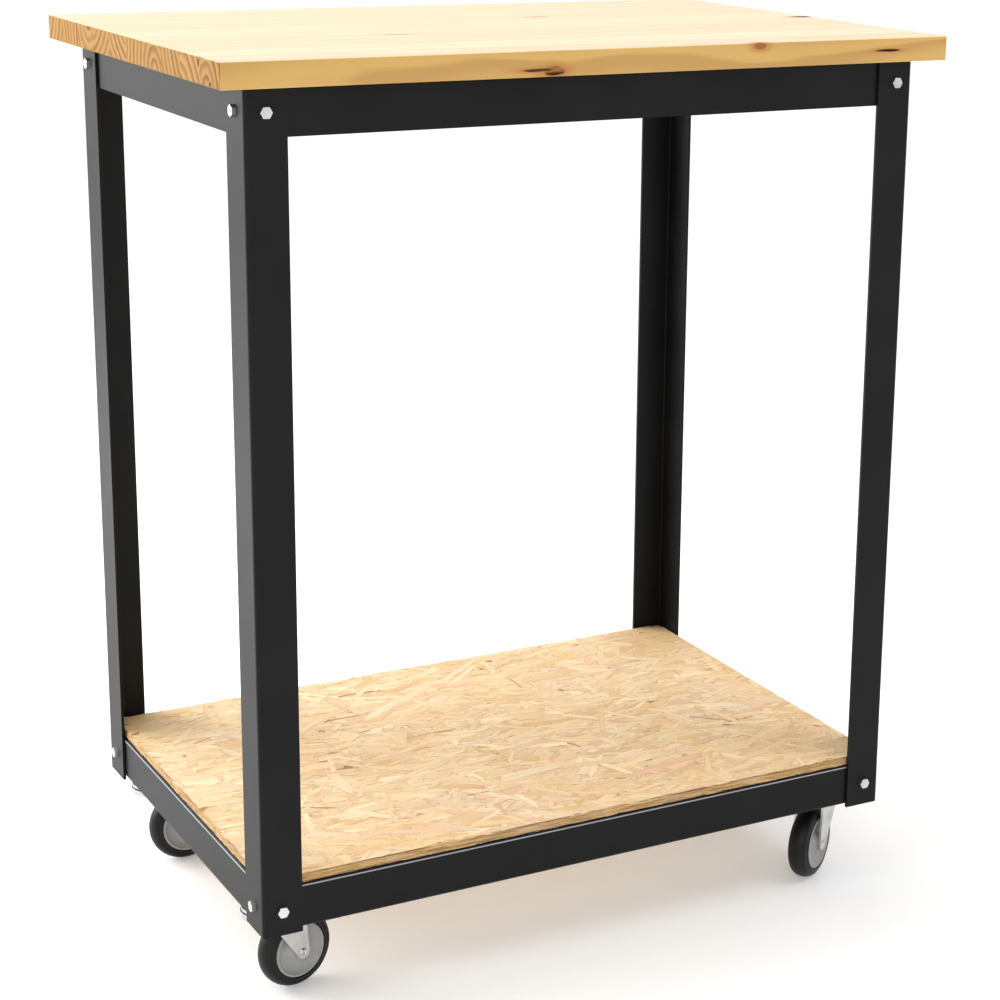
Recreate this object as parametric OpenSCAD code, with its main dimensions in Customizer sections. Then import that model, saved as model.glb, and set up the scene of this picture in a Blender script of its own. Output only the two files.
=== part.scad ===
// Rolling butcher block table: an edge-glued timber top on a bolted steel
// frame, a strand board shelf on the lower rails and four swivel casters.
// Millimetres. X runs along the length, Y from front to rear, Z up.
// The origin is on the floor, under the centre of the top.

/* [Top] */
// Length of the timber top
top_length = 762; // [700:1:900]
// Depth of the timber top, front to rear
top_depth = 508; // [460:1:600]
// Thickness of the timber top
top_thick = 24; // [20:1:40]
// Number of staves glued edge to edge
stave_count = 10; // [6:1:12]
// Radius that eases the outer edges of the top
top_ease = 1.6; // [0.5:0.1:4]
// Height of the working surface above the floor
table_height = 920; // [850:1:950]

/* [Frame] */
// Width of the steel frame over the legs
frame_width = 707; // [660:1:740]
// Depth of the steel frame over the legs
frame_depth = 470; // [430:1:500]
// Width of a leg's front or rear flange
leg_face = 40; // [36:1:44]
// Width of a leg's side flange
leg_side = 45; // [44:1:50]
// Steel thickness of the legs
leg_steel = 3; // [2.5:0.1:4]
// Outer radius of the legs' bend
leg_bend = 4; // [3.5:0.1:6]
// Steel thickness of the rails
rail_steel = 2.5; // [2:0.1:3]
// Height of every rail
rail_height = 45; // [42:1:50]
// Width of the rails' flanges
rail_flange = 40; // [36:1:42]
// Outer radius of the rails' bends
rail_bend = 3.5; // [3:0.1:5]
// How far the legs reach below the shelf rails
leg_drop = 2.5; // [0:0.5:3]

/* [Shelf] */
// Thickness of the strand board shelf
shelf_thick = 9.5; // [8:0.5:15]
// Gap between the shelf board and the inside of the legs
shelf_gap = 2.5; // [1:0.5:5]

/* [Casters] */
// Diameter of the wheels
wheel_dia = 80; // [76:1:84]
// Width of the tyres
tyre_width = 24; // [20:1:25]
// Height from the floor to the underside of the shelf rails
caster_height = 97; // [97:1:105]
// Distance from a caster's swivel axis back to its axle
caster_trail = 36.8; // [34:0.1:38]
// Distance from the frame's side face to the swivel axis
caster_inset_x = 23.7; // [22:0.1:25]
// Distance from the frame's front or rear face to the swivel axis
caster_inset_y = 66.7; // [66:0.1:80]
// Which way each caster trails: front left, front right, rear left, rear right
caster_turns = [14, 213, 2, 166]; // [0:1:359]

/* [Fasteners] */
// Thread diameter of the frame bolts
bolt_dia = 6; // [5:1:8]
// Hexagon of the bolt heads and nuts, across the flats
bolt_hex = 10; // [9:0.5:13]
// Distance from a leg's corner to the bolt in its front or rear flange
bolt_from_side = 19.5; // [18:0.5:22]
// Distance from a leg's corner to the bolt in its side flange
bolt_from_face = 23.6; // [22:0.1:26]
// Thread diameter of the caster stems
stem_dia = 12; // [10:1:12]

/* [Hidden] */
$fn = 48;
eps = 0.01;            // overlap that makes a cut run clean through
running_gap = 0.05;    // radial clearance of a turning fit

// Frame heights and faces
top_z = table_height - top_thick;
shelf_rail_z = caster_height;
shelf_z = shelf_rail_z + rail_height;
leg_z = shelf_rail_z - leg_drop;
leg_length = top_z - leg_z;
frame_x = frame_width / 2;
frame_y = frame_depth / 2;
rail_face_x = frame_x - leg_steel;      // outer face of the side rails
rail_face_y = frame_y - leg_steel;      // outer face of the front and rear rails
rail_joint_gap = 0.5;                   // gap where two rails meet in a corner
long_rail_x = rail_face_x - rail_bend - rail_joint_gap;
side_web_y = rail_face_y - rail_steel - rail_joint_gap;
side_flange_y = rail_face_y - rail_flange - 2 * rail_joint_gap;
notch_x = rail_face_x - rail_bend - rail_flange / 2;    // middle of a side rail's notches
notch_y = side_flange_y + rail_flange / 2;
rail_mid = rail_height / 2;

// Fasteners
bolt_clear = 0.5;
head_high = 4;
head_chamfer_r = bolt_hex / 2 + 0.2;    // where the head's 30 degree chamfer meets its top
nut_high = 5;
washer_dia = 12.5;
washer_thick = 1.6;
bolt_reach = 2.5;                       // thread showing past the nut
bolt_length = leg_steel + rail_steel + washer_thick + nut_high + bolt_reach;
screw_dia = 4.4;
screw_head_dia = 9;
screw_head_high = 2.6;
screw_length = 15;
screw_x = [-230, 0, 230];               // screws in the front and rear rails
stave_wide = top_depth / stave_count;
screw_y = [-1.5 * stave_wide, 1.5 * stave_wide];  // screws in the side rails

// Caster heights, from the rail's underside down to the floor
wheel_r = wheel_dia / 2;
race_r = 20;
race_high = 3;
race_z = shelf_rail_z - race_high;
crown_gap = 1.3;
crown_steel = 2.5;
crown_top = race_z - crown_gap;
crown_z = crown_top - crown_steel;
crown_r = 21;
skirt_drop = 3.5;
ball_r = 1.75;
ball_ring_r = 15;
ball_count = 14;
ball_z = (race_z + crown_top) / 2;
pin_r = 6;
pin_head_r = 9;
pin_head_high = 3;
pin_head_gap = 0.3;
fork_gap = 28;
fork_steel = 2.5;
fork_boss_r = 7.3;
fork_front = -4;                        // leading end of a fork leg's top
fork_back = caster_trail + 2.5;         // trailing end of a fork leg's top
crown_plate_back = caster_trail - 12;   // trailing end of the flat between the fork legs
axle_r = 3;
axle_head_r = 4;
axle_head_high = 1.5;
axle_head_taper = 1.2;
axle_dimple_r = 1.6;
axle_dimple_deep = 0.8;
bushing_r = 5;
hub_r = 28.5;
hub_half = 11.8;
hub_boss_r = 8.5;
hub_boss_half = 13.6;
hub_dish = 4.6;
hub_rim = 2.4;
hub_chamfer = 0.8;
tyre_shoulder = 10.6;
tyre_bead = 0.8;                        // width of the tyre's flat beside the hub
tyre_round_r = 33;                      // radius where the tread starts to round
stem_nut_hex = 19;
stem_nut_high = 10;
stem_washer_dia = 24;
stem_washer_thick = 2.5;
stem_top = shelf_rail_z + rail_steel + stem_washer_thick + stem_nut_high + 3;

// Corner signs and names, in the order front left, front right, rear left, rear right
corners = [[-1, -1], [1, -1], [-1, 1], [1, 1]];
corner_names = ["front_left", "front_right", "rear_left", "rear_right"];
caster_parts = ["stem", "fork", "axle", "bushing", "hub", "tyre"];

// ---- Shared shapes ----

// A rectangle centred on the origin with true round corners
module round_rect(w, h, r) {
    square([w - 2 * r, h], center = true);
    square([w, h - 2 * r], center = true);
    for (x = [-1, 1], y = [-1, 1])
        translate([x * (w / 2 - r), y * (h / 2 - r)]) circle(r);
}

// The outside of a square corner at the origin, rounded to radius r, less its inside
module bend_outline(w, h, steel, r) {
    difference() {
        union() {
            translate([r, 0]) square([w - r, steel]);
            translate([0, r]) square([steel, h - r]);
            intersection() {
                translate([r, r]) circle(r);
                square(r);
            }
        }
        translate([r, r]) circle(r - steel);
    }
}

module hex_prism(across, high) {
    cylinder(d = across / cos(30), h = high, $fn = 6);
}

// ---- Top ----

// The whole top before it is divided into staves
module top_blank() {
    translate([0, 0, top_z + top_thick / 2]) intersection() {
        rotate([90, 0, 90])
            linear_extrude(top_length, center = true) round_rect(top_depth, top_thick, top_ease);
        rotate([90, 0, 0])
            linear_extrude(top_depth, center = true) round_rect(top_length, top_thick, top_ease);
        linear_extrude(top_thick, center = true) round_rect(top_length, top_depth, top_ease);
    }
}

// One stave, numbered from 1 at the front edge
module top_stave(i) {
    color("burlywood") difference() {
        intersection() {
            top_blank();
            translate([-top_length, -top_depth / 2 + (i - 1) * stave_wide, top_z - 1])
                cube([2 * top_length, stave_wide, top_thick + 2]);
        }
        top_screw_places()
            translate([0, 0, -eps]) cylinder(d = screw_dia, h = screw_length - rail_steel + eps);
    }
}

// Each screw's point on the underside of the top
module top_screw_places() {
    flange_mid = rail_flange / 2;
    for (x = screw_x, s = [-1, 1])
        translate([x, s * (rail_face_y - flange_mid), top_z]) children();
    for (y = screw_y, s = [-1, 1])
        translate([s * (rail_face_x - flange_mid), y, top_z]) children();
}

// Pan-head wood screws that hold the top to the rails from below
module top_screws() {
    color("silver") top_screw_places() {
        translate([0, 0, -rail_steel]) cylinder(d = screw_dia, h = screw_length);
        translate([0, 0, -rail_steel - screw_head_high])
            cylinder(d = screw_head_dia, h = screw_head_high);
    }
}

// ---- Frame ----

// A leg: an angle bent from one strip, corner at sx, sy, with its bolt holes
module leg(sx, sy) {
    color("dimgray") difference() {
        translate([sx * frame_x, sy * frame_y, leg_z])
            scale([-sx, -sy, 1]) linear_extrude(leg_length)
                bend_outline(leg_face, leg_side, leg_steel, leg_bend);
        corner_bolts(sx, sy) bolt_hole();
    }
}

// Puts its children at the four bolts of one corner, +Z pointing inwards
module corner_bolts(sx, sy) {
    for (z = [shelf_rail_z + rail_mid, top_z - rail_mid]) {
        translate([sx * (frame_x - bolt_from_side), sy * frame_y, z])
            rotate([sy * 90, 0, 0]) children();
        translate([sx * frame_x, sy * (frame_y - bolt_from_face), z])
            rotate([0, -sx * 90, 0]) children();
    }
}

module all_bolts() {
    for (c = corners) corner_bolts(c[0], c[1]) children();
}

module bolt_hole() {
    translate([0, 0, -1]) cylinder(d = bolt_dia + bolt_clear, h = leg_steel + rail_steel + 2);
}

// Hexagon bolts, heads outside the legs
module frame_bolts() {
    color("silver") all_bolts() {
        cylinder(d = bolt_dia, h = bolt_length);
        translate([0, 0, -head_high]) intersection() {
            hex_prism(bolt_hex, head_high);
            cylinder(r1 = head_chamfer_r, r2 = head_chamfer_r + head_high / tan(30), h = head_high);
        }
    }
}

module ring(outer_d, inner_d, high) {
    difference() {
        cylinder(d = outer_d, h = high);
        translate([0, 0, -1]) cylinder(d = inner_d, h = high + 2);
    }
}

module frame_washers() {
    color("gainsboro") all_bolts()
        translate([0, 0, leg_steel + rail_steel]) ring(washer_dia, bolt_dia, washer_thick);
}

module nut(across, bore, high) {
    difference() {
        hex_prism(across, high);
        translate([0, 0, -1]) cylinder(d = bore, h = high + 2);
    }
}

module frame_nuts() {
    color("silver") all_bolts()
        translate([0, 0, leg_steel + rail_steel + washer_thick]) nut(bolt_hex, bolt_dia, nut_high);
}

// Cross-section of a rail in its own frame: outer face on Y = 0, inside towards +Y
module rail_section(channel) {
    web = channel ? rail_height - rail_bend : rail_height;
    translate([0, rail_height]) mirror([0, 1])
        bend_outline(rail_flange, web, rail_steel, rail_bend);
    if (channel) bend_outline(rail_flange, web, rail_steel, rail_bend);
}

// A front or rear rail: s is -1 at the front and 1 at the rear
module long_rail(s, z, channel) {
    color("dimgray") difference() {
        translate([-long_rail_x, s * rail_face_y, z])
            scale([1, -s, 1]) rotate([90, 0, 90])
                linear_extrude(2 * long_rail_x) rail_section(channel);
        all_bolts() bolt_hole();
        if (!channel) screw_holes();
    }
}

// A side rail: its flanges stop short of the long rails and its web runs on into the corners
module side_rail(s, z, channel) {
    color("dimgray") difference() {
        translate([s * rail_face_x, side_web_y, z])
            scale([-s, 1, 1]) rotate([90, 0, 0])
                linear_extrude(2 * side_web_y) rail_section(channel);
        for (e = [-1, 1]) translate([s * notch_x, e * notch_y, z + rail_mid]) notch_block();
        all_bolts() bolt_hole();
        if (!channel) screw_holes();
        if (channel) caster_places() translate([0, 0, shelf_rail_z - 1])
            cylinder(d = stem_dia, h = rail_steel + 2);
    }
}

// What is cut from a side rail's flanges at each end
module notch_block() {
    cube([rail_flange, rail_flange, rail_height + 2], center = true);
}

module screw_holes() {
    top_screw_places()
        translate([0, 0, -rail_steel - 1]) cylinder(d = screw_dia, h = rail_steel + 2);
}

// ---- Shelf ----

// The board lies on the rails' upper flanges, held in place by the four legs
module shelf_board() {
    inset = leg_steel + shelf_gap;
    color("wheat") translate([-frame_x + inset, -frame_y + inset, shelf_z])
        cube([frame_width - 2 * inset, frame_depth - 2 * inset, shelf_thick]);
}

// ---- Casters ----

// Puts its children on each swivel axis, at floor height
module caster_places() {
    for (c = corners) translate(swivel_point(c)) children();
}

function swivel_point(c) = [c[0] * (frame_x - caster_inset_x), c[1] * (frame_y - caster_inset_y), 0];

// Puts one caster's parts at corner n: swivel axis on Z, trailing towards its own turn
module caster(n) {
    translate(swivel_point(corners[n])) rotate([0, 0, caster_turns[n]]) children();
}

// Puts wheel parts on the axle, with Z along the axle
module on_axle() {
    translate([caster_trail, 0, wheel_r]) rotate([90, 0, 0]) children();
}

// Threaded stem with the king pin below it, whose head carries the fork
module stem(n) {
    head_z = crown_z - pin_head_gap - pin_head_high;
    color("silver") caster(n) {
        translate([0, 0, head_z + eps]) cylinder(r = pin_r, h = stem_top - head_z - 1);
        translate([0, 0, stem_top - 1]) cylinder(r1 = pin_r, r2 = pin_r - 1, h = 1);
        translate([0, 0, head_z]) cylinder(r = pin_head_r, h = pin_head_high);
    }
}

// The groove that the balls run in
module ball_groove() {
    translate([0, 0, ball_z]) rotate_extrude()
        translate([ball_ring_r, 0]) circle(ball_r + running_gap);
}

// Fixed upper races, one under each corner of the frame
module caster_races() {
    color("gainsboro") caster_places() difference() {
        translate([0, 0, race_z]) ring(2 * race_r, 2 * pin_r, race_high);
        ball_groove();
    }
}

module caster_balls() {
    color("white") caster_places() for (a = [0:ball_count - 1])
        rotate([0, 0, a * 360 / ball_count])
            translate([ball_ring_r, 0, ball_z]) sphere(ball_r);
}

module caster_washers() {
    color("gainsboro") caster_places() translate([0, 0, shelf_rail_z + rail_steel])
        ring(stem_washer_dia, stem_dia, stem_washer_thick);
}

module caster_nuts() {
    color("silver") caster_places()
        translate([0, 0, shelf_rail_z + rail_steel + stem_washer_thick])
            nut(stem_nut_hex, stem_dia, stem_nut_high);
}

// Where a line from point p touches a circle: side 1 or -1 picks the tangent
function tangent_point(p, centre, r, side) =
    let (d = centre - p, far = norm(d), turn = acos(r / far), back = atan2(-d[1], -d[0]))
        centre + r * [cos(back + side * turn), sin(back + side * turn)];

// Outline of a fork leg, seen along the axle: X is the trailing direction, Y is up
module fork_leg_outline() {
    axle = [caster_trail, wheel_r];
    lead = [fork_front, crown_z - skirt_drop];
    trail = [fork_back, crown_z - skirt_drop];
    polygon([
        [fork_front, crown_top], lead, tangent_point(lead, axle, fork_boss_r, 1), axle,
        tangent_point(trail, axle, fork_boss_r, -1), trail, [fork_back, crown_top]
    ]);
    translate(axle) circle(fork_boss_r);
}

// Swivelling fork: a dished crown with two legs bent down beside the wheel
module fork(n) {
    half = fork_gap / 2 + fork_steel;
    color("gainsboro") caster(n) difference() {
        union() {
            translate([0, 0, crown_z]) cylinder(r = crown_r, h = crown_steel);
            translate([0, 0, crown_z - skirt_drop])
                ring(2 * crown_r, 2 * (crown_r - fork_steel), skirt_drop + eps);
            translate([fork_front, -half, crown_z])
                cube([crown_plate_back - fork_front, 2 * half, crown_steel]);
            for (s = [-1, 1])
                translate([0, s * (fork_gap + fork_steel) / 2, 0]) rotate([90, 0, 0])
                    linear_extrude(fork_steel, center = true) fork_leg_outline();
        }
        // room between the legs for the wheel
        translate([0, -fork_gap / 2, crown_z - skirt_drop - eps])
            cube([2 * caster_trail, fork_gap, skirt_drop + eps]);
        cylinder(r = pin_r + running_gap, h = 2 * caster_height);
        ball_groove();
        on_axle() cylinder(r = axle_r, h = 4 * half, center = true);
    }
}

// Axle riveted over at both ends, with the rivet tool's dimple in each end
module axle(n) {
    half = fork_gap / 2 + fork_steel;
    end = half + axle_head_high;
    color("silver") caster(n) on_axle() difference() {
        union() {
            cylinder(r = axle_r, h = 2 * half, center = true);
            for (s = [0, 180]) rotate([s, 0, 0]) translate([0, 0, half])
                cylinder(r1 = axle_head_r, r2 = axle_head_r - axle_head_taper, h = axle_head_high);
        }
        for (s = [0, 180]) rotate([s, 0, 0]) translate([0, 0, end - axle_dimple_deep])
            cylinder(r1 = axle_dimple_r / 2, r2 = axle_dimple_r, h = axle_dimple_deep + eps);
    }
}

// Sleeve clamped between the fork legs, which the hub turns on
module bushing(n) {
    color("silver") caster(n) on_axle() difference() {
        cylinder(r = bushing_r, h = fork_gap, center = true);
        cylinder(r = axle_r, h = 2 * fork_gap, center = true);
    }
}

// Wheel centre: a raised rim, a round dish in each face and a boss
module hub(n) {
    dish_wide = hub_r - hub_rim - hub_boss_r;
    dish_r = (dish_wide * dish_wide / 4 + hub_dish * hub_dish) / (2 * hub_dish);
    color("darkgray") caster(n) on_axle() difference() {
        rotate_extrude() {
            difference() {
                polygon([
                    [0, -hub_half], [hub_r - hub_chamfer, -hub_half], [hub_r, hub_chamfer - hub_half],
                    [hub_r, hub_half - hub_chamfer], [hub_r - hub_chamfer, hub_half], [0, hub_half]
                ]);
                for (s = [-1, 1])
                    translate([hub_boss_r + dish_wide / 2, s * (hub_half + dish_r - hub_dish)])
                        circle(dish_r);
            }
            translate([0, -hub_boss_half]) square([hub_boss_r, 2 * hub_boss_half]);
        }
        cylinder(r = bushing_r + running_gap, h = 4 * hub_boss_half, center = true);
    }
}

// Solid rubber tyre with a rounded tread
module tyre(n) {
    crown = wheel_r - tyre_round_r;
    tread = [for (a = [0:15:180]) [tyre_round_r + crown * sin(a), tyre_shoulder * cos(a)]];
    bead_r = hub_r + tyre_bead;
    color("#202020") caster(n) on_axle() rotate_extrude()
        polygon(concat(
            [[hub_r, -tyre_shoulder], [hub_r, tyre_shoulder], [bead_r, tyre_width / 2]],
            tread,
            [[bead_r, -tyre_width / 2]]
        ));
}

// ---- The parts ----

for (i = [1:stave_count])
    top_stave(i);
for (n = [0:3])
    leg(corners[n][0], corners[n][1]);
long_rail(-1, top_z - rail_height, false);  // top_rail_front
long_rail(1, top_z - rail_height, false);  // top_rail_rear
side_rail(-1, top_z - rail_height, false);  // top_rail_left
side_rail(1, top_z - rail_height, false);  // top_rail_right
long_rail(-1, shelf_rail_z, true);  // shelf_rail_front
long_rail(1, shelf_rail_z, true);  // shelf_rail_rear
side_rail(-1, shelf_rail_z, true);  // shelf_rail_left
side_rail(1, shelf_rail_z, true);  // shelf_rail_right
shelf_board();
frame_bolts();
frame_washers();
frame_nuts();
top_screws();
caster_races();
caster_balls();
caster_washers();
caster_nuts();
for (n = [0:3]) {
    stem(n);
    fork(n);
    axle(n);
    bushing(n);
    hub(n);
    tyre(n);
}
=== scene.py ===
"""Rolling butcher block table: finishes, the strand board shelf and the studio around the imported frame."""

import math
import random

import bmesh
import bpy
from mathutils import Matrix, Vector


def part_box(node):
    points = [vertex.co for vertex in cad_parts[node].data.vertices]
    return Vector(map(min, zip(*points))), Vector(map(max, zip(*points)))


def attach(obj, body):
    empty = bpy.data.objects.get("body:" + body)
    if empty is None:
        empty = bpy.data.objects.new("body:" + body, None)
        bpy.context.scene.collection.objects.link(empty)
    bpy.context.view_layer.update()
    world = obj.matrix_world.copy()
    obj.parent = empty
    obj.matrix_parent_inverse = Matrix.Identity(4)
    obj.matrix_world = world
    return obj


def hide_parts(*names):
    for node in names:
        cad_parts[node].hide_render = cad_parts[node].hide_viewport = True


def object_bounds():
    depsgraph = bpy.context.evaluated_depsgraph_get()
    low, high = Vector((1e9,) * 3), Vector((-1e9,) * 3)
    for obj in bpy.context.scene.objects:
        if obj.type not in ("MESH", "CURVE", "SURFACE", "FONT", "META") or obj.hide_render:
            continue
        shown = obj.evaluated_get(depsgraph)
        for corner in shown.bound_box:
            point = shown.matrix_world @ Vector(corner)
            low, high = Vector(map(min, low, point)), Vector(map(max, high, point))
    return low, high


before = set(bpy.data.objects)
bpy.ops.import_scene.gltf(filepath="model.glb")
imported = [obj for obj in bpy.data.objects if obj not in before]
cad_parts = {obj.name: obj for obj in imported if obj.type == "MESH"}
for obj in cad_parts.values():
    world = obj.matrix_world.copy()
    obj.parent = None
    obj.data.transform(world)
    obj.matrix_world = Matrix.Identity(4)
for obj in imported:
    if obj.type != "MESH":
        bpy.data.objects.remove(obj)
cad_low, cad_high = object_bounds()

MM = 0.001
CORNERS = ("front_left", "front_right", "rear_left", "rear_right")
SIDES = ("front", "rear", "left", "right")
STAVES = 10


# ---- Finishes: how a material is written ----


class Value:
    """A number that varies over a surface. Arithmetic on it adds Math nodes."""

    def __init__(self, finish, socket):
        self.finish = finish
        self.socket = socket

    def maths(self, operation, *terms, clamped=False):
        settings = {"operation": operation, "use_clamp": clamped}
        return self.finish.node("Math", settings, dict(enumerate(terms)))

    def __add__(self, other):
        return self.maths("ADD", self, other)

    def __sub__(self, other):
        return self.maths("SUBTRACT", self, other)

    def __rsub__(self, other):
        return self.maths("SUBTRACT", other, self)

    def __mul__(self, other):
        return self.maths("MULTIPLY", self, other)

    def __truediv__(self, other):
        return self.maths("DIVIDE", self, other)

    def __pow__(self, other):
        return self.maths("POWER", self, other)

    def __abs__(self):
        return self.maths("ABSOLUTE", self)

    def floor(self):
        return self.maths("FLOOR", self)

    def fraction(self):
        return self.maths("FRACT", self)

    def clamped(self):
        return self.maths("ADD", self, 0.0, clamped=True)

    __radd__ = __add__
    __rmul__ = __mul__


class Finish:
    """One material in the making: a Principled shader and the nodes that feed it."""

    def __init__(self, material_name, **constants):
        self.material = bpy.data.materials.new(material_name)
        self.material.use_nodes = True
        self.tree = self.material.node_tree
        self.shader = self.tree.nodes["Principled BSDF"]
        for name, value in constants.items():
            socket = name.replace("_", " ").title().replace("Ior", "IOR")
            self.shader.inputs[socket].default_value = value

    def node(self, kind, settings=None, sockets=None, out=0):
        """Adds a shader node: its settings first, then the values or links of its sockets."""
        made = self.tree.nodes.new("ShaderNode" + kind)
        for name, value in (settings or {}).items():
            setattr(made, name, value)
        for name, value in (sockets or {}).items():
            self.feed(made.inputs[name], value)
        return Value(self, made.outputs[out])

    def feed(self, socket, value):
        if isinstance(value, Value):
            self.tree.links.new(value.socket, socket)
        else:
            socket.default_value = value

    def place(self):
        """Where a point of the piece is, in metres, in the table's own frame."""
        return self.node("TexCoord", out="Object")

    def facing(self):
        """Which way the piece's own surface faces, as an axis by axis triple."""
        return self.node("TexCoord", out="Normal")

    def axes(self, vector):
        """The three parts of a vector."""
        split = self.node("SeparateXYZ", sockets={0: vector})
        outputs = split.socket.node.outputs
        return [Value(self, outputs[i]) for i in range(3)]

    def joined(self, x, y, z):
        return self.node("CombineXYZ", sockets={0: x, 1: y, 2: z})

    def stretched(self, vector, x, y, z):
        return self.node("VectorMath", {"operation": "MULTIPLY"}, {0: vector, 1: (x, y, z)})

    def moved(self, vector, x, y, z):
        return self.node("VectorMath", {"operation": "ADD"}, {0: vector, 1: (x, y, z)})

    def noise(self, vector, scale, detail=3.0, roughness=0.5):
        """Cloudy variation from 0 to 1."""
        sockets = {"Vector": vector, "Scale": scale, "Detail": detail, "Roughness": roughness}
        return self.node("TexNoise", sockets=sockets)

    def spots(self, vector, scale, out="Distance"):
        """Distance to the nearest of scattered points, or that point's own colour."""
        return self.node("TexVoronoi", sockets={"Vector": vector, "Scale": scale}, out=out)

    def fade(self, value, low, high, start=0.0, end=1.0):
        """Goes smoothly from start to end as value goes from low to high."""
        settings = {"interpolation_type": "SMOOTHSTEP"}
        sockets = {0: value, 1: low, 2: high, 3: start, 4: end}
        return self.node("MapRange", settings, sockets)

    def mixed(self, share, first, second, how="MIX"):
        """One colour over another, as much as share says."""
        settings = {"data_type": "RGBA", "blend_type": how}
        first, second = [c if isinstance(c, Value) else (*c, 1.0) for c in (first, second)]
        return self.node("Mix", settings, {0: share, 6: first, 7: second}, out=2)

    def bump(self, height, depth, strength):
        """Relief as deep as depth, in metres, where height is 1."""
        sockets = {"Height": height, "Distance": depth, "Strength": strength}
        return self.node("Bump", sockets=sockets)

    def paint(self, colour, roughness, normal=None, coat=None):
        """Joins what varies to the shader."""
        fed = {"Base Color": colour, "Roughness": roughness, "Normal": normal, "Coat Weight": coat}
        for name, value in fed.items():
            if value is not None:
                self.feed(self.shader.inputs[name], value)
        return self.material


# ---- Timber ----

# Each stave's pith, front to rear: how far it lies behind the stave's middle and above
# its middle, and the width of a growth ring, in millimetres
STAVE_HEARTS = (
    (1, -11, 10.5),
    (44, -46, 11.0),
    (-74, 34, 9.5),
    (-8, -12, 10.5),
    (96, 12, 9.5),
    (-66, 62, 10.0),
    (58, 60, 10.0),
    (-4, 14, 10.5),
    (110, -6, 10.0),
    (86, 30, 10.5),
)


def timber(number):
    """Pine with its growth rings round the stave's own pith, so that end grain and long grain agree."""
    behind, above, ring = STAVE_HEARTS[number - 1]
    low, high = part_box(f"top_stave_{number}")
    middle = (low + high) / 2
    wood = Finish(f"pine_stave_{number}", coat_roughness=0.22, specular_ior_level=0.06)
    seed = number * 3.7
    dice = random.Random(number)
    shade, warmth = dice.uniform(0.93, 1.05), dice.uniform(0.92, 1.08)

    def toned(red, green, blue):
        return red * shade, green * shade * warmth ** 0.3, blue * shade * warmth

    place = wood.place()
    x, y, z = wood.axes(place)

    # the trunk is never straight: the pith wanders and the rings swell along the stave
    along = wood.joined(x * 2.4 + seed, seed, 0.0)
    wander = wood.noise(along, 1.0, 1.5) - 0.5
    lift = wood.noise(wood.moved(along, 9, 4, 2), 1.3, 1.5) - 0.5
    across = y - (middle.y + behind * MM) + wander * 34 * MM + x * dice.uniform(-8, 8) * MM
    upward = z - (middle.z + above * MM) + lift * 20 * MM
    radius = (across * across + upward * upward) ** 0.5
    waver = wood.noise(wood.stretched(wood.moved(place, seed, 0, 0), 4, 26, 26), 1.0, 3.0) - 0.5
    rings = radius / (ring * MM) + waver * 1.3
    year = wood.noise(wood.joined(rings.floor() + seed, seed, 0.0), 3.1, 0.0)
    through = rings.fraction()

    # pale spring wood darkens slowly into summer wood, which ends sharply
    summer = wood.fade(through, 0.12, 0.76) * wood.fade(through, 0.84, 1.0, 1.0, 0.0)
    summer = summer * (0.30 + year * 1.2)
    fibres = wood.noise(wood.stretched(place, 7, 420, 420), 1.0, 3.0)
    streaks = wood.noise(wood.stretched(wood.moved(place, seed, seed, 0), 1.6, 60, 60), 1.0, 2.5)
    facing_x, facing_y, facing_z = wood.axes(wood.facing())
    end_grain = wood.fade(abs(facing_x), 0.5, 0.8)
    top_face = wood.fade(facing_z, 0.5, 0.9)
    # painted light: the top face gets weaker rings and paler, creamier colours than the sides, standing in
    # for the light falling on it from above
    ring_strength = 0.42 + end_grain * 0.48 - top_face * 0.16
    spring = wood.mixed(streaks, toned(0.71, 0.49, 0.148), toned(0.61, 0.36, 0.076))
    spring = wood.mixed(top_face * 0.72, spring, toned(0.79, 0.645, 0.43))
    spring = wood.mixed(end_grain * 0.95, spring, toned(0.33, 0.185, 0.047))
    late = wood.mixed(top_face * 0.6, (0.26, 0.10, 0.022), (0.54, 0.31, 0.12))
    late = wood.mixed(end_grain, late, (0.15, 0.052, 0.012))
    colour = wood.mixed((summer * ring_strength).clamped(), spring, late)
    fine = wood.fade(fibres, 0.35, 0.65) * 0.13 + streaks * 0.06
    colour = wood.mixed(fine, colour, (0.50, 0.28, 0.11))
    # grey-brown mineral streaks lie along the sanded face
    mineral = wood.noise(wood.stretched(wood.moved(place, 0, seed, 0), 2.2, 110, 20), 1.0, 3.0)
    colour = wood.mixed(wood.fade(mineral, 0.60, 0.74) * top_face * 0.42, colour, (0.55, 0.36, 0.20))
    # a hair of glue shows where two staves meet
    from_middle = abs(y - middle.y) / ((high.y - low.y) / 2)
    seam = wood.fade(from_middle, 0.982, 0.998) * 0.45
    colour = wood.mixed(seam, colour, (0.42, 0.24, 0.09))

    colour, marks = timber_marks(wood, number, place, colour)
    relief = summer * 0.5 + fibres * 0.35 - marks * 0.8 - seam
    rough = 0.34 + end_grain * 0.2 + fibres * 0.12 + marks * 0.15
    normal = wood.bump(relief, 0.12 * MM, 0.55)
    gloss = 0.35 - end_grain * 0.35 + top_face * 0.15 - marks * 0.3
    return wood.paint(colour, rough, normal, coat=gloss.clamped())


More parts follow.
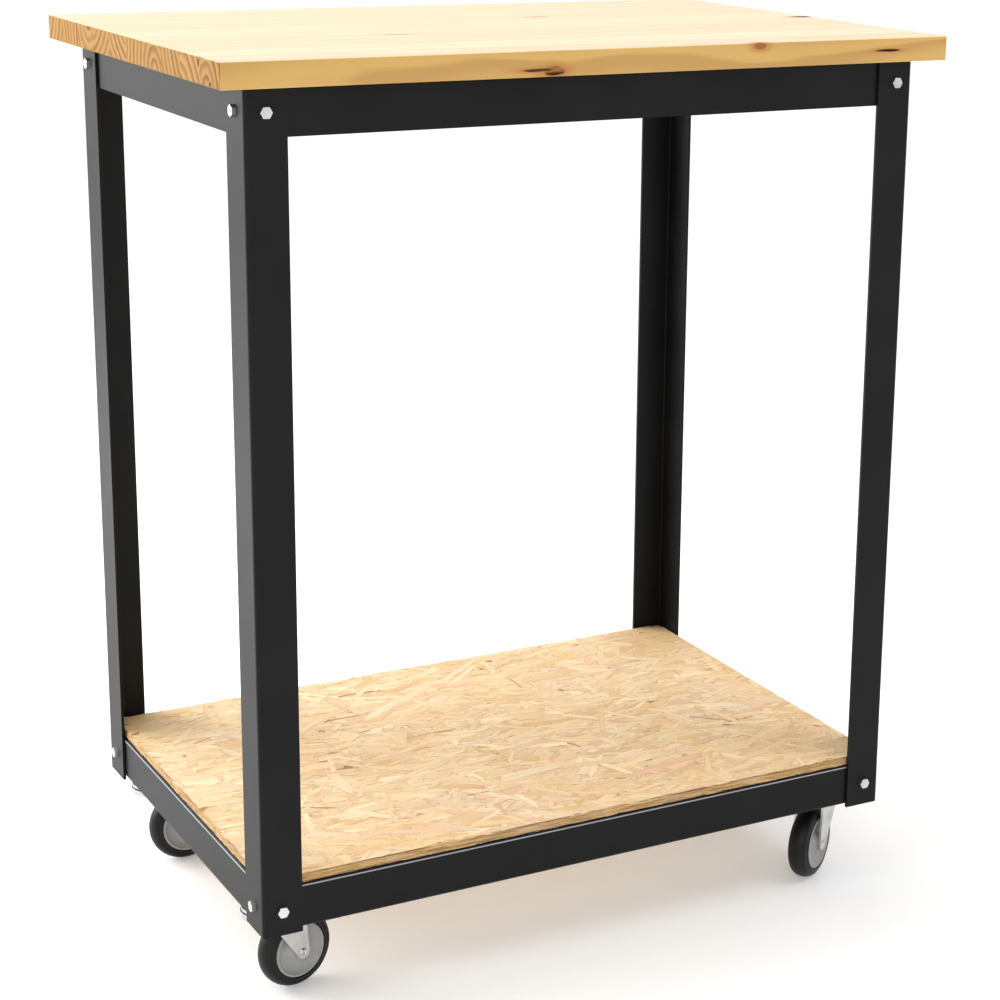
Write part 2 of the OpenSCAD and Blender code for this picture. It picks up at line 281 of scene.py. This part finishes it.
# Knots and checks: the stave, how far from the top's left end, front edge and underside
# each lies, its half sizes along those three directions, in millimetres, and its colour
KNOT_BROWN = (0.022, 0.006, 0.003)
PITCH_BROWN = (0.08, 0.028, 0.009)
PALE_BROWN = (0.28, 0.11, 0.03)
TIMBER_MARKS = (
    (1, (318, 0, 5.0), (11, 9, 4.6), KNOT_BROWN),
    (1, (303, 0, 6.5), (17, 6, 1.6), PITCH_BROWN),
    (1, (541, 0, 21), (7, 5, 3.5), PALE_BROWN),
    (1, (690, 0, 12), (13, 4, 1.3), KNOT_BROWN),
    (5, (752, 245, 24), (14, 7, 9), PITCH_BROWN),
    (7, (470, 330, 24), (10, 2.5, 5), PALE_BROWN),
    (4, (250, 190, 24), (16, 1.6, 4), PALE_BROWN),
    (2, (0, 53, 19), (4, 1.8, 3.6), PITCH_BROWN),
    (1, (0, 24, 3), (4, 2.4, 2.0), PITCH_BROWN),
)


def timber_marks(wood, number, place, colour):
    """Knots and checks as dark ovals with a soft stained surround. Gives the colour and where they are."""
    marks = 0.0
    corner = Vector((cad_low.x, cad_low.y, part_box("top_stave_1")[0].z))
    ragged = (wood.noise(wood.stretched(place, 60, 160, 160), 1.0, 3.0) - 0.5) * 0.9
    for stave, spot, half, brown in TIMBER_MARKS:
        if stave != number:
            continue
        centre = corner + Vector(spot) * MM
        moved = wood.moved(place, *(-centre))
        scaled = wood.stretched(moved, *(1 / (h * MM) for h in half))
        distance = wood.node("VectorMath", {"operation": "LENGTH"}, {0: scaled}, out="Value") + ragged
        stain = wood.fade(distance, 0.9, 2.6, 0.8, 0.0)
        colour = wood.mixed(stain, colour, (0.40, 0.17, 0.045))
        core = wood.fade(distance, 0.75, 1.15, 1.0, 0.0)
        colour = wood.mixed(core, colour, brown)
        marks = core + marks
    return colour, marks


# ---- Steel and the casters' finishes ----


def powder_coat(name, bend_highlight=0.0):
    """Black polyester powder: a fine orange peel, a little dust and, when asked, a painted highlight on the
    upper bends.
    """
    coat = Finish(name, specular_ior_level=0.15)
    place = coat.place()
    cloud = coat.noise(place, 9.0, 4.0)
    peel = coat.noise(place, 900.0, 2.0)
    grit = coat.spots(place, 1400.0)
    colour = coat.mixed(coat.fade(cloud, 0.3, 0.75), (0.0035, 0.0036, 0.004), (0.0065, 0.0065, 0.0068))
    scuff = coat.noise(coat.stretched(place, 30, 30, 4), 1.0, 6.0, 0.62)
    colour = coat.mixed(coat.fade(scuff, 0.66, 0.78) * 0.2, colour, (0.04, 0.04, 0.041))
    speck = coat.fade(grit, 0.0, 0.16, 1.0, 0.0)
    colour = coat.mixed(speck * 0.12, colour, (0.06, 0.06, 0.06))
    if bend_highlight:
        # painted highlight: a pale line on the bend where it turns from facing out to facing up, standing in
        # for a lamp's reflection
        upward = coat.axes(coat.facing())[2]
        bend = coat.fade(upward, 0.12, 0.30) * coat.fade(upward, 0.40, 0.62, 1.0, 0.0)
        colour = coat.mixed(bend * (bend_highlight - cloud * 0.3), colour, (0.40, 0.405, 0.42))
    rough = 0.34 + cloud * 0.10 + peel * 0.06
    normal = coat.bump(peel * 0.8 + grit * 0.4, 0.05 * MM, 0.5)
    return coat.paint(colour, rough, normal)


def zinc(name, tone, gloss):
    """Bright zinc plating: spangle, drawing lines and a thin dull film."""
    plate = Finish(name, metallic=1.0)
    place = plate.place()
    cloud = plate.noise(place, 60.0, 3.0)
    spangle = plate.spots(place, 420.0, "Color")
    lines = plate.noise(plate.stretched(place, 300, 300, 2600), 1.0, 2.0)
    pale = tuple(tone * c for c in (1.0, 0.995, 0.97))
    dull = tuple(tone * c for c in (0.70, 0.70, 0.69))
    colour = plate.mixed(plate.fade(cloud, 0.35, 0.75) * 0.7, pale, dull)
    colour = plate.mixed(0.08, colour, spangle, "MULTIPLY")
    rough = gloss + cloud * 0.16 + lines * 0.06
    return plate.paint(colour, rough, plate.bump(lines + cloud, 0.03 * MM, 0.35))


def bearing_steel():
    """Polished hard balls under a film of grease."""
    steel = Finish("bearing_steel", metallic=1.0)
    film = steel.noise(steel.place(), 500.0, 3.0)
    colour = steel.mixed(steel.fade(film, 0.4, 0.7), (0.78, 0.79, 0.80), (0.52, 0.50, 0.44))
    return steel.paint(colour, 0.08 + film * 0.22, steel.bump(film, 0.01 * MM, 0.2))


def hub_plastic():
    """Grey moulded nylon, matt from the mould, with faint flow lines."""
    nylon = Finish("grey_hub_nylon", specular_ior_level=0.5)
    place = nylon.place()
    cloud = nylon.noise(place, 90.0, 3.0)
    grain = nylon.noise(place, 1500.0, 2.0)
    colour = nylon.mixed(cloud, (0.25, 0.25, 0.25), (0.33, 0.33, 0.33))
    dust = nylon.fade(nylon.noise(place, 35.0, 5.0, 0.6), 0.55, 0.75)
    colour = nylon.mixed(dust * 0.18, colour, (0.38, 0.37, 0.35))
    return nylon.paint(colour, 0.38 + grain * 0.18, nylon.bump(grain, 0.03 * MM, 0.4))


def tyre_rubber():
    """Black rubber with a bloom of grey and a fine moulded skin."""
    rubber = Finish("black_tyre_rubber", specular_ior_level=0.22)
    place = rubber.place()
    bloom = rubber.noise(place, 45.0, 5.0, 0.6)
    skin = rubber.noise(place, 1300.0, 3.0)
    colour = rubber.mixed(rubber.fade(bloom, 0.4, 0.75), (0.003, 0.003, 0.0033), (0.009, 0.009, 0.009))
    return rubber.paint(colour, 0.36 + bloom * 0.2, rubber.bump(skin, 0.04 * MM, 0.5))


def strand_wood():
    """Aspen and pine strands: each has its own tint and its grain runs along it."""
    strand = Finish("strand_board_wood", specular_ior_level=0.3)
    place = strand.place()
    x, y, z = strand.axes(place)
    tint = strand.node("Attribute", {"attribute_name": "tint"}, out="Color")
    rim = strand.node("Attribute", {"attribute_name": "rim"}, out="Fac")
    grain_place = strand.node("UVMap", {"uv_map": "grain"})
    lines = strand.noise(strand.stretched(grain_place, 16, 700, 1), 1.0, 3.0)
    bands = strand.noise(strand.stretched(grain_place, 9, 150, 1), 1.0, 2.0)
    wear = strand.noise(place, 22.0, 4.0)
    glue = strand.noise(place, 5.0, 3.0)
    colour = strand.mixed(strand.fade(bands, 0.42, 0.75) * 0.34, tint, (0.66, 0.42, 0.19))
    colour = strand.mixed(strand.fade(lines, 0.45, 0.75) * 0.26, colour, (0.50, 0.29, 0.13))
    colour = strand.mixed(strand.fade(wear, 0.45, 0.75) * 0.30, colour, (0.90, 0.76, 0.54))
    colour = strand.mixed(strand.fade(glue, 0.45, 0.70) * 0.20, colour, (0.74, 0.46, 0.15))
    # the darker rims: painted shade along each strand's edge, and torn fibres with resin in them
    rim_shade_and_resin = strand.fade(rim, 0.0, 0.16, 1.0, 0.0) * strand.fade(wear, 0.35, 0.6)
    colour = strand.mixed(rim_shade_and_resin * 0.45, colour, (0.46, 0.26, 0.11))
    # the two rear corners are darker and browner
    low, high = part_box("shelf_board")
    for corner, reach in ((low.x, 0.11), (high.x, 0.13)):
        away = ((x - corner) * (x - corner) + (y - high.y) * (y - high.y) * 0.5) ** 0.5
        rear_corner_darkening = strand.fade(away + (glue - 0.5) * 0.12, 0.02, reach, 0.55, 0.0)
        colour = strand.mixed(rear_corner_darkening, colour, (0.52, 0.34, 0.14))
    rough = 0.46 + lines * 0.16 + rim_shade_and_resin * 0.15
    return strand.paint(colour, rough, strand.bump(lines + bands, 0.08 * MM, 0.4))


def board_core():
    """The dark glued inside of the board that shows between strands."""
    core = Finish("strand_board_core", specular_ior_level=0.2)
    place = core.place()
    lines = core.noise(core.stretched(place, 30, 30, 1100), 1.0, 3.0)
    colour = core.mixed(lines, (0.26, 0.14, 0.06), (0.50, 0.31, 0.14))
    return core.paint(colour, 0.7 + lines * 0.1, core.bump(lines, 0.2 * MM, 0.6))


# ---- Strand board ----

STRAND_THICK = 0.55 * MM
STRAND_CROWN = 0.05 * MM
UNDER_RELIEF = (0.40 * MM, 0.55 * MM)
FACE_RELIEF = (0.0, 0.38 * MM)
BOARD_SEED = 41
UNDER_COUNT = 900                           # broad strands that back each face
FACE_COUNTS = ((1, 2600), (-1, 1200))       # strands seen on the upper and the lower face
UNDER_LENGTHS = (45, 110, 70)               # least, greatest and usual, in millimetres
UNDER_WIDTHS = (16, 30, 22)
FACE_LENGTHS = (20, 120, 50)
FACE_WIDTHS = (3, 19, 7)
SHARE_ALONG = 0.7                           # strands that lie roughly along the board
DARK_BELOW = 0.58                           # a tint with less red than this is a thin dark sliver
EDGE_LAYER = 0.62 * MM
EDGE_SLIVER_DEPTH = 1.2 * MM
PALE_TINTS = (
    (0.84, 0.64, 0.38), (0.80, 0.59, 0.33), (0.87, 0.70, 0.46), (0.82, 0.60, 0.36), (0.84, 0.63, 0.42),
)
WARM_TINTS = ((0.76, 0.51, 0.30), (0.77, 0.50, 0.33), (0.73, 0.50, 0.24), (0.74, 0.52, 0.32))
DARK_TINTS = ((0.46, 0.26, 0.13), (0.40, 0.23, 0.12), (0.52, 0.24, 0.13), (0.34, 0.23, 0.13))
EDGE_TINTS = ((0.42, 0.25, 0.10), (0.50, 0.32, 0.14), (0.32, 0.18, 0.07), (0.57, 0.39, 0.19))


class StrandPile:
    """Gathers flat strands into one mesh, with a tint and a grain direction for each."""

    def __init__(self):
        self.points, self.faces, self.tints, self.grain, self.rims = [], [], [], [], []

    def add(self, top, out, thick, tint, grain):
        """top: the outline's points. out: away from the board. grain: (along, across) of each point."""
        first, count = len(self.points), len(top)
        middle = sum(top, Vector()) / count + out * STRAND_CROWN
        middle_grain = [sum(g[i] for g in grain) / count for i in range(2)]
        self.points += [*top, *(p - out * thick for p in top), middle]
        around = [(i, (i + 1) % count) for i in range(count)]
        self.faces += [(first + i, first + j, first + 2 * count) for i, j in around]
        self.faces.append(tuple(first + count + i for i in reversed(range(count))))
        self.faces += [(first + i, first + count + i, first + count + j, first + j) for i, j in around]
        self.tints += [tint] * (2 * count + 1)
        self.grain += [*grain, *grain, middle_grain]
        self.rims += [0.0] * (2 * count) + [1.0]

    def mesh(self, name):
        made = bpy.data.meshes.new(name)
        made.from_pydata(self.points, [], self.faces)
        tint = made.attributes.new("tint", "FLOAT_COLOR", "POINT")
        tint.data.foreach_set("color", [c for t in self.tints for c in (*t, 1.0)])
        made.attributes.new("rim", "FLOAT", "POINT").data.foreach_set("value", self.rims)
        uv = made.uv_layers.new(name="grain")
        for loop in made.loops:
            uv.data[loop.index].uv = self.grain[loop.vertex_index]
        return made


def strand_outline(dice, length, width):
    """A splintered sliver: nearly straight sides and ragged slanting ends."""
    slant = [dice.uniform(0.02, 0.28) * length for _ in range(4)]
    bend = [dice.uniform(0.72, 1.0) * width / 2 for _ in range(4)]
    half = length / 2
    tip, tail = (dice.uniform(-0.35, 0.35) * width for _ in range(2))
    return [
        (-half, tail), (-half + slant[0], -bend[0]), (half - slant[1], -bend[1]),
        (half, tip), (half - slant[2], bend[2]), (-half + slant[3], bend[3]),
    ]


def sawn(outline, low, high):
    """The part of an outline that the saw left inside the board. Points are (x, y)."""
    cuts = ((0, low.x, True), (0, high.x, False), (1, low.y, True), (1, high.y, False))
    for axis, limit, keep_above in cuts:
        kept = []
        for i, point in enumerate(outline):
            before = outline[i - 1]
            inside = (point[axis] >= limit) == keep_above
            inside_before = (before[axis] >= limit) == keep_above
            if inside != inside_before:
                share = (limit - before[axis]) / (point[axis] - before[axis])
                kept.append(tuple(b + (p - b) * share for p, b in zip(point, before)))
            if inside:
                kept.append(point)
        outline = kept
        if len(outline) < 3:
            return []
    return outline


def shaded(tint, shade):
    return tuple(min(1.0, c * shade) for c in tint)


def pick_tint(dice):
    """Mostly pale strands, some warm, a few dark, each a little lighter or darker."""
    roll = dice.random()
    family = PALE_TINTS if roll < 0.76 else WARM_TINTS if roll < 0.975 else DARK_TINTS
    return shaded(dice.choice(family), dice.uniform(0.90, 1.05))


class BoardFace:
    """The upper (up = 1) or lower (up = -1) face of the board, to lay strands on."""

    def __init__(self, pile, dice, low, high, up):
        self.pile, self.dice, self.low, self.high = pile, dice, low, high
        self.out = Vector((0, 0, up))
        self.level = high.z if up > 0 else low.z

    def lay(self, centre, turn, length, width, tint, relief):
        """One strand. relief: the least and greatest depth below the face."""
        dice, up = self.dice, self.out.z
        cos, sin = math.cos(turn), math.sin(turn)
        outline = [
            (centre[0] + u * cos - v * sin, centre[1] + u * sin + v * cos)
            for u, v in strand_outline(dice, length, width)
        ]
        outline = sawn(outline, self.low, self.high)
        slope = dice.uniform(-0.004, 0.004), dice.uniform(-0.012, 0.012)
        offset = dice.uniform(0, 9), dice.uniform(0, 9)
        if not outline:
            return
        if up < 0:
            outline.reverse()
        along = [(x - centre[0]) * cos + (y - centre[1]) * sin for x, y in outline]
        across = [(y - centre[1]) * cos - (x - centre[0]) * sin for x, y in outline]
        rise = [a * slope[0] + b * slope[1] for a, b in zip(along, across)]
        depth = relief[0] + dice.random() ** 1.4 * (relief[1] - relief[0]) + max(rise) + STRAND_CROWN
        top = [Vector((x, y, self.level + up * (r - depth))) for (x, y), r in zip(outline, rise)]
        grain = [(a + offset[0], b + offset[1]) for a, b in zip(along, across)]
        self.pile.add(top, self.out, STRAND_THICK, tint, grain)

    def scatter(self, count, lengths, widths, relief):
        """Strands that mostly run along the board. lengths and widths: least, greatest, usual."""
        dice = self.dice
        for _ in range(count):
            length = dice.triangular(*lengths) * MM
            width = dice.triangular(*widths) * MM
            turn = dice.gauss(0, 24) if dice.random() < SHARE_ALONG else dice.uniform(-90, 90)
            centre = dice.uniform(self.low.x, self.high.x), dice.uniform(self.low.y, self.high.y)
            tint = pick_tint(dice)
            if tint[0] < DARK_BELOW:
                width, length = width * 0.3, length * 0.6
            self.lay(centre, math.radians(turn), length, width, tint, relief)


def lay_edge(pile, dice, low, high, axis, side):
    """A sawn edge along one axis: the strands' layers seen from their sides or their ends."""
    out, run, up = Vector((0, 0, 0)), Vector((0, 0, 0)), Vector((0, 0, 1))
    out[1 - axis] = side
    run[axis] = 1
    face = (low, high)[side > 0][1 - axis]
    longest = 70 if axis == 0 else 22
    sliver = ((-1, 0), (-0.6, -0.5), (0.55, -0.5), (1, 0), (0.5, 0.5), (-0.65, 0.5))
    z = low.z + STRAND_THICK
    while z < high.z - STRAND_THICK:
        reach = low[axis]
        while reach < high[axis]:
            length = dice.triangular(5, longest, longest * 0.35) * MM
            thick = dice.uniform(0.35, 0.85) * MM
            middle = min(reach + length / 2, high[axis])
            half = min(length / 2, middle - low[axis], high[axis] - middle)
            lean = dice.uniform(-0.012, 0.012)
            sunk = dice.uniform(0.05, 0.35) * MM
            tint = shaded(dice.choice(EDGE_TINTS), dice.uniform(0.8, 1.15))
            if half > 1 * MM and dice.random() < 0.93:
                centre = run * middle + up * (z + dice.uniform(-0.2, 0.2) * MM) - out * sunk
                centre[1 - axis] += face
                top = [centre + run * (u * half) + up * (v * thick + u * half * lean) for u, v in sliver]
                grain = [(u * half + reach, v * thick) for u, v in sliver]
                if (axis == 0) == (side > 0):
                    top.reverse()
                    grain.reverse()
                pile.add(top, out, EDGE_SLIVER_DEPTH, tint, grain)
            reach += length * 0.8
        z += EDGE_LAYER


def strand_board():
    """The shelf: a glued core with a few thousand strands pressed over its faces and edges."""
    dice = random.Random(BOARD_SEED)
    low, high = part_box("shelf_board")
    pile = StrandPile()
    for up, count in FACE_COUNTS:
        face = BoardFace(pile, dice, low, high, up)
        face.scatter(UNDER_COUNT, UNDER_LENGTHS, UNDER_WIDTHS, UNDER_RELIEF)
        face.scatter(count, FACE_LENGTHS, FACE_WIDTHS, FACE_RELIEF)
    for axis in (0, 1):
        for side in (-1, 1):
            lay_edge(pile, dice, low, high, axis, side)
    board = bpy.data.objects.new("strand_board_shelf", pile.mesh("strand_board_shelf"))
    board.data.materials.append(strand_wood())
    bpy.context.scene.collection.objects.link(board)
    return board


def strand_core():
    """What lies under the strands: a slab a hair smaller than the board."""
    low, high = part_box("shelf_board")
    inset = Vector((0.7, 0.7, 0.75)) * MM
    size = high - low - 2 * inset
    shell = bmesh.new()
    bmesh.ops.create_cube(shell, size=1.0)
    bmesh.ops.scale(shell, vec=size, verts=shell.verts)
    bmesh.ops.translate(shell, vec=(low + high) / 2, verts=shell.verts)
    bmesh.ops.bevel(shell, geom=shell.edges[:], offset=0.4 * MM, segments=2, affect="EDGES")
    mesh = bpy.data.meshes.new("strand_board_core")
    shell.to_mesh(mesh)
    shell.free()
    mesh.materials.append(board_core())
    core = bpy.data.objects.new("strand_board_core", mesh)
    bpy.context.scene.collection.objects.link(core)
    return core


# ---- Finishing the frame's own parts ----


def finish_nodes(material, *names):
    """Gives CAD nodes their finish."""
    for name in names:
        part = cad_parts[name]
        part.data.materials.clear()
        part.data.materials.append(material)


def at_corners(part):
    return [f"{part}_{corner}" for corner in CORNERS]


def on_sides(part):
    return [f"{part}_{side}" for side in SIDES]


def finish_frame():
    for number in range(1, STAVES + 1):
        finish_nodes(timber(number), f"top_stave_{number}")
    finish_nodes(powder_coat("black_powder_coat"), *at_corners("leg"), *on_sides("top_rail"))
    # the shelf rails get a painted highlight along their upper bends
    finish_nodes(powder_coat("coat_with_painted_highlight", bend_highlight=1.0), *on_sides("shelf_rail"))
    bright = zinc("bright_zinc", 0.66, 0.20)
    pressed = zinc("pressed_zinc", 0.62, 0.30)
    finish_nodes(bright, "frame_bolts", "frame_washers", "frame_nuts", "top_screws")
    finish_nodes(bright, "caster_washers", "caster_nuts", *at_corners("stem"), *at_corners("axle"))
    finish_nodes(pressed, "caster_races", *at_corners("fork"), *at_corners("bushing"))
    finish_nodes(bearing_steel(), "caster_balls")
    finish_nodes(hub_plastic(), *at_corners("hub"))
    finish_nodes(tyre_rubber(), *at_corners("tyre"))


# ---- Studio ----


CAMERA_PLACE = (-1.056, -2.136, 1.123)      # metres
CAMERA_TURN = (-29.6, -14.7, 1.0)           # heading, pitch and roll, in degrees
LENS_LENGTH = 83.7                          # millimetres
LENS_SHIFT = (-0.12, -0.07)


def set_camera():
    """Stands in front of the left corner, looking a little down on the top."""
    heading, pitch, roll = (math.radians(angle) for angle in CAMERA_TURN)
    turn = Matrix.Rotation(heading, 4, "Z")
    turn = turn @ Matrix.Rotation(math.pi / 2 + pitch, 4, "X")
    turn = turn @ Matrix.Rotation(roll, 4, "Z")
    lens = bpy.data.cameras.new("camera")
    lens.lens = LENS_LENGTH
    lens.shift_x, lens.shift_y = LENS_SHIFT
    camera = bpy.data.objects.new("camera", lens)
    camera.matrix_world = Matrix.Translation(CAMERA_PLACE) @ turn
    bpy.context.scene.collection.objects.link(camera)
    bpy.context.scene.camera = camera


def soft_light(name, place, aim, size, power, colour=(1, 1, 1)):
    """A softbox at place, facing aim."""
    data = bpy.data.lights.new(name, "AREA")
    data.shape = "RECTANGLE"
    data.size, data.size_y = size
    data.energy = power
    data.color = colour
    lamp = bpy.data.objects.new(name, data)
    lamp.location = place
    lamp.rotation_euler = (Vector(aim) - Vector(place)).to_track_quat("-Z", "Y").to_euler()
    lamp.visible_camera = False
    bpy.context.scene.collection.objects.link(lamp)


AIR_RISE = (0.30, 0.65)         # upward part of a direction where the air starts and stops dimming
AIR_STRENGTH = (1.0, 0.48)      # at the horizon and overhead


def set_air():
    """White air at the horizon, dimmer overhead."""
    world = bpy.data.worlds.new("studio_air")
    world.use_nodes = True
    nodes, links = world.node_tree.nodes, world.node_tree.links
    air = nodes["Background"]
    air.inputs["Color"].default_value = (1, 1, 1, 1)
    parts = nodes.new("ShaderNodeSeparateXYZ")
    fade = nodes.new("ShaderNodeMapRange")
    for socket, value in enumerate((*AIR_RISE, *AIR_STRENGTH), start=1):
        fade.inputs[socket].default_value = value
    links.new(nodes.new("ShaderNodeTexCoord").outputs["Generated"], parts.inputs[0])
    links.new(parts.outputs[2], fade.inputs[0])
    links.new(fade.outputs[0], air.inputs["Strength"])
    bpy.context.scene.world = world


FLOOR_RADIUS = 40               # metres
FLOOR_GLOW = 0.5
GLOW_REACH = (1.2, 4.5)         # metres from the table where the floor's glow starts and stops growing


def set_studio():
    """A pale floor out to the horizon, pale air, three softboxes and a strip along the front edge."""
    set_air()
    middle = (0, 0, 0.5)
    soft_light("overhead_softbox", (-0.6, 0.6, 3.0), middle, (2.6, 2.4), 56)
    soft_light("left_softbox", (-2.2, 1.9, 1.3), (-0.7, 0.4, 0.0), (2.0, 1.6), 88)
    soft_light("front_softbox", (-1.9, -4.2, 2.2), middle, (2.0, 1.6), 44)
    soft_light("edge_strip", (1.3, -1.3, 2.5), (0.1, -0.2, 0.2), (1.4, 0.25), 16)

    paper = Finish("floor_paper", specular_ior_level=0.1)
    place = paper.place()
    tone = paper.noise(place, 2.0, 2.0)
    colour = paper.mixed(tone, (0.88, 0.88, 0.88), (0.92, 0.92, 0.92))
    far = paper.node("VectorMath", {"operation": "LENGTH"}, {0: place}, out="Value")
    glow = paper.mixed(paper.fade(far, *GLOW_REACH), (0.42, 0.42, 0.42), (1, 1, 1))
    paper.feed(paper.shader.inputs["Emission Color"], glow)
    paper.shader.inputs["Emission Strength"].default_value = FLOOR_GLOW
    mesh = bpy.data.meshes.new("studio_floor")
    disc = bmesh.new()
    bmesh.ops.create_circle(disc, cap_ends=True, segments=96, radius=FLOOR_RADIUS)
    disc.to_mesh(mesh)
    disc.free()
    mesh.materials.append(paper.paint(colour, 0.9 - tone * 0.1))
    floor = bpy.data.objects.new("studio_floor", mesh)
    bpy.context.scene.collection.objects.link(floor)
    bpy.context.scene.view_settings.view_transform = "Standard"


set_camera()
finish_frame()
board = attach(strand_board(), "frame")
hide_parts("shelf_board")
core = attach(strand_core(), "frame")
set_studio()
